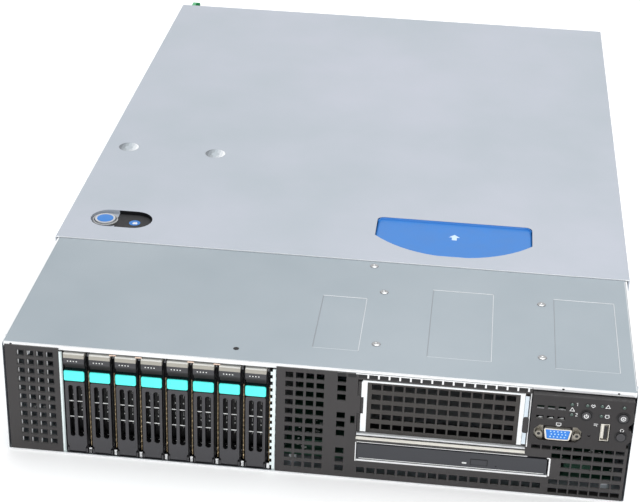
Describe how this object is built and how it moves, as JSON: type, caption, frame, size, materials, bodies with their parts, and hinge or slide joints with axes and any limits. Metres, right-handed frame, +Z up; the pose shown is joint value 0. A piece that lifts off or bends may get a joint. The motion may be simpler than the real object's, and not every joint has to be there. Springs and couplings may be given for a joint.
{
  "type": "2u rack server",
  "caption": "Low rack-mounted computer server with slide-out drive carriers, an optical drive, a sliding top cover, inner fans and plug-in power supplies.",
  "frame": {"origin": "middle of the underside of the chassis floor", "axes": "+Z up, +Y to the rear, +X to the right seen from the front"},
  "size_m": [0.43, 0.7063, 0.0873],
  "materials": {
    "zinc_steel": "satin zinc-coated sheet steel",
    "fascia_paint": "dark grey matt paint on sheet steel",
    "bare_steel": "bare sheet steel",
    "panel_plastic": "fine-grained black-brown moulded plastic",
    "carrier_plastic": "dark grey moulded plastic",
    "latch_plastic": "turquoise moulded plastic",
    "release_plastic": "blue moulded plastic",
    "button_plastic": "grey moulded plastic",
    "optical_plastic": "dark grey moulded plastic",
    "board_green": "green glass-fibre circuit board",
    "sink_aluminium": "extruded aluminium",
    "socket_metal": "nickel-plated steel",
    "fan_plastic": "black moulded plastic",
    "latch_green": "green moulded plastic"
  },
  "bodies": {
    "chassis": {"chassis_tray": "zinc_steel", "front_top_panel": "zinc_steel", "left_vent_panel": "fascia_paint", "drive_cage": "bare_steel", "drive_backplane": "board_green", "front_fascia": "fascia_paint", "media_bay": "bare_steel", "bay_filler": "bare_steel", "optical_drive_case": "bare_steel", "control_panel": "panel_plastic", "control_board": "board_green", "video_socket": "socket_metal", "usb_socket": "socket_metal", "rear_sockets": "socket_metal", "interface_board": "board_green", "system_board": "board_green", "heat_sinks": "sink_aluminium", "memory_modules": "board_green", "slot_covers": "bare_steel", "fan_bank": "fan_plastic"},
    "top_cover": {"top_cover": "zinc_steel"},
    "cover_release_button": {"cover_release_button": "release_plastic"},
    "optical_tray": {"optical_tray": "optical_plastic"},
    "optical_eject_button": {"optical_eject_button": "optical_plastic"},
    "power_button": {"power_button": "button_plastic"},
    "id_button": {"id_button": "panel_plastic"},
    "reset_button": {"reset_button": "button_plastic"},
    "nmi_button": {"nmi_button": "panel_plastic"},
    "psu_upper": {"psu_upper": "bare_steel"},
    "psu_lower": {"psu_lower": "bare_steel"},
    "psu_latch_upper": {"psu_latch_upper": "latch_green"},
    "psu_latch_lower": {"psu_latch_lower": "latch_green"},
    "drive_carrier_1": {"drive_carrier_1": "carrier_plastic"},
    "drive_handle_1": {"drive_handle_1": "carrier_plastic"},
    "drive_latch_1": {"drive_latch_1": "latch_plastic"},
    "drive_carrier_2": {"drive_carrier_2": "carrier_plastic"},
    "drive_handle_2": {"drive_handle_2": "carrier_plastic"},
    "drive_latch_2": {"drive_latch_2": "latch_plastic"},
    "drive_carrier_3": {"drive_carrier_3": "carrier_plastic"},
    "drive_handle_3": {"drive_handle_3": "carrier_plastic"},
    "drive_latch_3": {"drive_latch_3": "latch_plastic"},
    "drive_carrier_4": {"drive_carrier_4": "carrier_plastic"},
    "drive_handle_4": {"drive_handle_4": "carrier_plastic"},
    "drive_latch_4": {"drive_latch_4": "latch_plastic"},
    "drive_carrier_5": {"drive_carrier_5": "carrier_plastic"},
    "drive_handle_5": {"drive_handle_5": "carrier_plastic"},
    "drive_latch_5": {"drive_latch_5": "latch_plastic"},
    "drive_carrier_6": {"drive_carrier_6": "carrier_plastic"},
    "drive_handle_6": {"drive_handle_6": "carrier_plastic"},
    "drive_latch_6": {"drive_latch_6": "latch_plastic"},
    "drive_carrier_7": {"drive_carrier_7": "carrier_plastic"},
    "drive_handle_7": {"drive_handle_7": "carrier_plastic"},
    "drive_latch_7": {"drive_latch_7": "latch_plastic"},
    "drive_carrier_8": {"drive_carrier_8": "carrier_plastic"},
    "drive_handle_8": {"drive_handle_8": "carrier_plastic"},
    "drive_latch_8": {"drive_latch_8": "latch_plastic"},
    "fan_rotor_1": {"fan_rotor_1": "fan_plastic"},
    "fan_rotor_2": {"fan_rotor_2": "fan_plastic"},
    "fan_rotor_3": {"fan_rotor_3": "fan_plastic"}
  },
  "joints": [
    {"name": "drive_carrier_1_slide", "type": "slide", "parent": "chassis", "child": "drive_carrier_1", "axis": [0, -1, 0], "range_m": [0, 0.115]},
    {"name": "drive_handle_1_hinge", "type": "hinge", "parent": "drive_carrier_1", "child": "drive_handle_1", "pos_m": [-0.1632, -0.3382, 0.0045], "axis": [1, 0, 0], "range_deg": [0, 65]},
    {"name": "drive_latch_1_press", "type": "slide", "parent": "drive_carrier_1", "child": "drive_latch_1", "axis": [0, 1, 0], "range_m": [0, 0.0015], "stiffness_N_per_m": 400, "springref_m": -0.002},
    {"name": "drive_carrier_2_slide", "type": "slide", "parent": "chassis", "child": "drive_carrier_2", "axis": [0, -1, 0], "range_m": [0, 0.115]},
    {"name": "drive_handle_2_hinge", "type": "hinge", "parent": "drive_carrier_2", "child": "drive_handle_2", "pos_m": [-0.1455, -0.3382, 0.0045], "axis": [1, 0, 0], "range_deg": [0, 65]},
    {"name": "drive_latch_2_press", "type": "slide", "parent": "drive_carrier_2", "child": "drive_latch_2", "axis": [0, 1, 0], "range_m": [0, 0.0015], "stiffness_N_per_m": 400, "springref_m": -0.002},
    {"name": "drive_carrier_3_slide", "type": "slide", "parent": "chassis", "child": "drive_carrier_3", "axis": [0, -1, 0], "range_m": [0, 0.115]},
    {"name": "drive_handle_3_hinge", "type": "hinge", "parent": "drive_carrier_3", "child": "drive_handle_3", "pos_m": [-0.1278, -0.3382, 0.0045], "axis": [1, 0, 0], "range_deg": [0, 65]},
    {"name": "drive_latch_3_press", "type": "slide", "parent": "drive_carrier_3", "child": "drive_latch_3", "axis": [0, 1, 0], "range_m": [0, 0.0015], "stiffness_N_per_m": 400, "springref_m": -0.002},
    {"name": "drive_carrier_4_slide", "type": "slide", "parent": "chassis", "child": "drive_carrier_4", "axis": [0, -1, 0], "range_m": [0, 0.115]},
    {"name": "drive_handle_4_hinge", "type": "hinge", "parent": "drive_carrier_4", "child": "drive_handle_4", "pos_m": [-0.1101, -0.3382, 0.0045], "axis": [1, 0, 0], "range_deg": [0, 65]},
    {"name": "drive_latch_4_press", "type": "slide", "parent": "drive_carrier_4", "child": "drive_latch_4", "axis": [0, 1, 0], "range_m": [0, 0.0015], "stiffness_N_per_m": 400, "springref_m": -0.002},
    {"name": "drive_carrier_5_slide", "type": "slide", "parent": "chassis", "child": "drive_carrier_5", "axis": [0, -1, 0], "range_m": [0, 0.115]},
    {"name": "drive_handle_5_hinge", "type": "hinge", "parent": "drive_carrier_5", "child": "drive_handle_5", "pos_m": [-0.0924, -0.3382, 0.0045], "axis": [1, 0, 0], "range_deg": [0, 65]},
    {"name": "drive_latch_5_press", "type": "slide", "parent": "drive_carrier_5", "child": "drive_latch_5", "axis": [0, 1, 0], "range_m": [0, 0.0015], "stiffness_N_per_m": 400, "springref_m": -0.002},
    {"name": "drive_carrier_6_slide", "type": "slide", "parent": "chassis", "child": "drive_carrier_6", "axis": [0, -1, 0], "range_m": [0, 0.115]},
    {"name": "drive_handle_6_hinge", "type": "hinge", "parent": "drive_carrier_6", "child": "drive_handle_6", "pos_m": [-0.0747, -0.3382, 0.0045], "axis": [1, 0, 0], "range_deg": [0, 65]},
    {"name": "drive_latch_6_press", "type": "slide", "parent": "drive_carrier_6", "child": "drive_latch_6", "axis": [0, 1, 0], "range_m": [0, 0.0015], "stiffness_N_per_m": 400, "springref_m": -0.002},
    {"name": "drive_carrier_7_slide", "type": "slide", "parent": "chassis", "child": "drive_carrier_7", "axis": [0, -1, 0], "range_m": [0, 0.115]},
    {"name": "drive_handle_7_hinge", "type": "hinge", "parent": "drive_carrier_7", "child": "drive_handle_7", "pos_m": [-0.057, -0.3382, 0.0045], "axis": [1, 0, 0], "range_deg": [0, 65]},
    {"name": "drive_latch_7_press", "type": "slide", "parent": "drive_carrier_7", "child": "drive_latch_7", "axis": [0, 1, 0], "range_m": [0, 0.0015], "stiffness_N_per_m": 400, "springref_m": -0.002},
    {"name": "drive_carrier_8_slide", "type": "slide", "parent": "chassis", "child": "drive_carrier_8", "axis": [0, -1, 0], "range_m": [0, 0.115]},
    {"name": "drive_handle_8_hinge", "type": "hinge", "parent": "drive_carrier_8", "child": "drive_handle_8", "pos_m": [-0.0393, -0.3382, 0.0045], "axis": [1, 0, 0], "range_deg": [0, 65]},
    {"name": "drive_latch_8_press", "type": "slide", "parent": "drive_carrier_8", "child": "drive_latch_8", "axis": [0, 1, 0], "range_m": [0, 0.0015], "stiffness_N_per_m": 400, "springref_m": -0.002},
    {"name": "top_cover_slide", "type": "slide", "parent": "chassis", "child": "top_cover", "axis": [0, 1, 0], "range_m": [0, 0.0127]},
    {"name": "cover_release_press", "type": "slide", "parent": "top_cover", "child": "cover_release_button", "axis": [0, 0, -1], "range_m": [0, 0.003], "stiffness_N_per_m": 400, "springref_m": -0.004},
    {"name": "optical_tray_slide", "type": "slide", "parent": "chassis", "child": "optical_tray", "axis": [0, -1, 0], "range_m": [0, 0.115]},
    {"name": "optical_eject_press", "type": "slide", "parent": "optical_tray", "child": "optical_eject_button", "axis": [0, 1, 0], "range_m": [0, 0.0008], "stiffness_N_per_m": 400, "springref_m": -0.002},
    {"name": "power_button_press", "type": "slide", "parent": "chassis", "child": "power_button", "axis": [0, 1, 0], "range_m": [0, 0.001], "stiffness_N_per_m": 500, "springref_m": -0.002},
    {"name": "id_button_press", "type": "slide", "parent": "chassis", "child": "id_button", "axis": [0, 1, 0], "range_m": [0, 0.001], "stiffness_N_per_m": 500, "springref_m": -0.002},
    {"name": "reset_button_press", "type": "slide", "parent": "chassis", "child": "reset_button", "axis": [0, 1, 0], "range_m": [0, 0.001], "stiffness_N_per_m": 500, "springref_m": -0.002},
    {"name": "nmi_button_press", "type": "slide", "parent": "chassis", "child": "nmi_button", "axis": [0, 1, 0], "range_m": [0, 0.001], "stiffness_N_per_m": 500, "springref_m": -0.002},
    {"name": "fan_rotor_1_spin", "type": "hinge", "parent": "chassis", "child": "fan_rotor_1", "pos_m": [-0.048, -0.077, 0.0412], "axis": [0, 1, 0], "continuous": true},
    {"name": "fan_rotor_2_spin", "type": "hinge", "parent": "chassis", "child": "fan_rotor_2", "pos_m": [0.04, -0.077, 0.0412], "axis": [0, 1, 0], "continuous": true},
    {"name": "fan_rotor_3_spin", "type": "hinge", "parent": "chassis", "child": "fan_rotor_3", "pos_m": [0.128, -0.077, 0.0412], "axis": [0, 1, 0], "continuous": true},
    {"name": "psu_lower_slide", "type": "slide", "parent": "chassis", "child": "psu_lower", "axis": [0, 1, 0], "range_m": [0, 0.29]},
    {"name": "psu_latch_lower_press", "type": "slide", "parent": "psu_lower", "child": "psu_latch_lower", "axis": [1, 0, 0], "range_m": [0, 0.004], "stiffness_N_per_m": 400, "springref_m": -0.003},
    {"name": "psu_upper_slide", "type": "slide", "parent": "chassis", "child": "psu_upper", "axis": [0, 1, 0], "range_m": [0, 0.29]},
    {"name": "psu_latch_upper_press", "type": "slide", "parent": "psu_upper", "child": "psu_latch_upper", "axis": [1, 0, 0], "range_m": [0, 0.004], "stiffness_N_per_m": 400, "springref_m": -0.003}
  ]
}
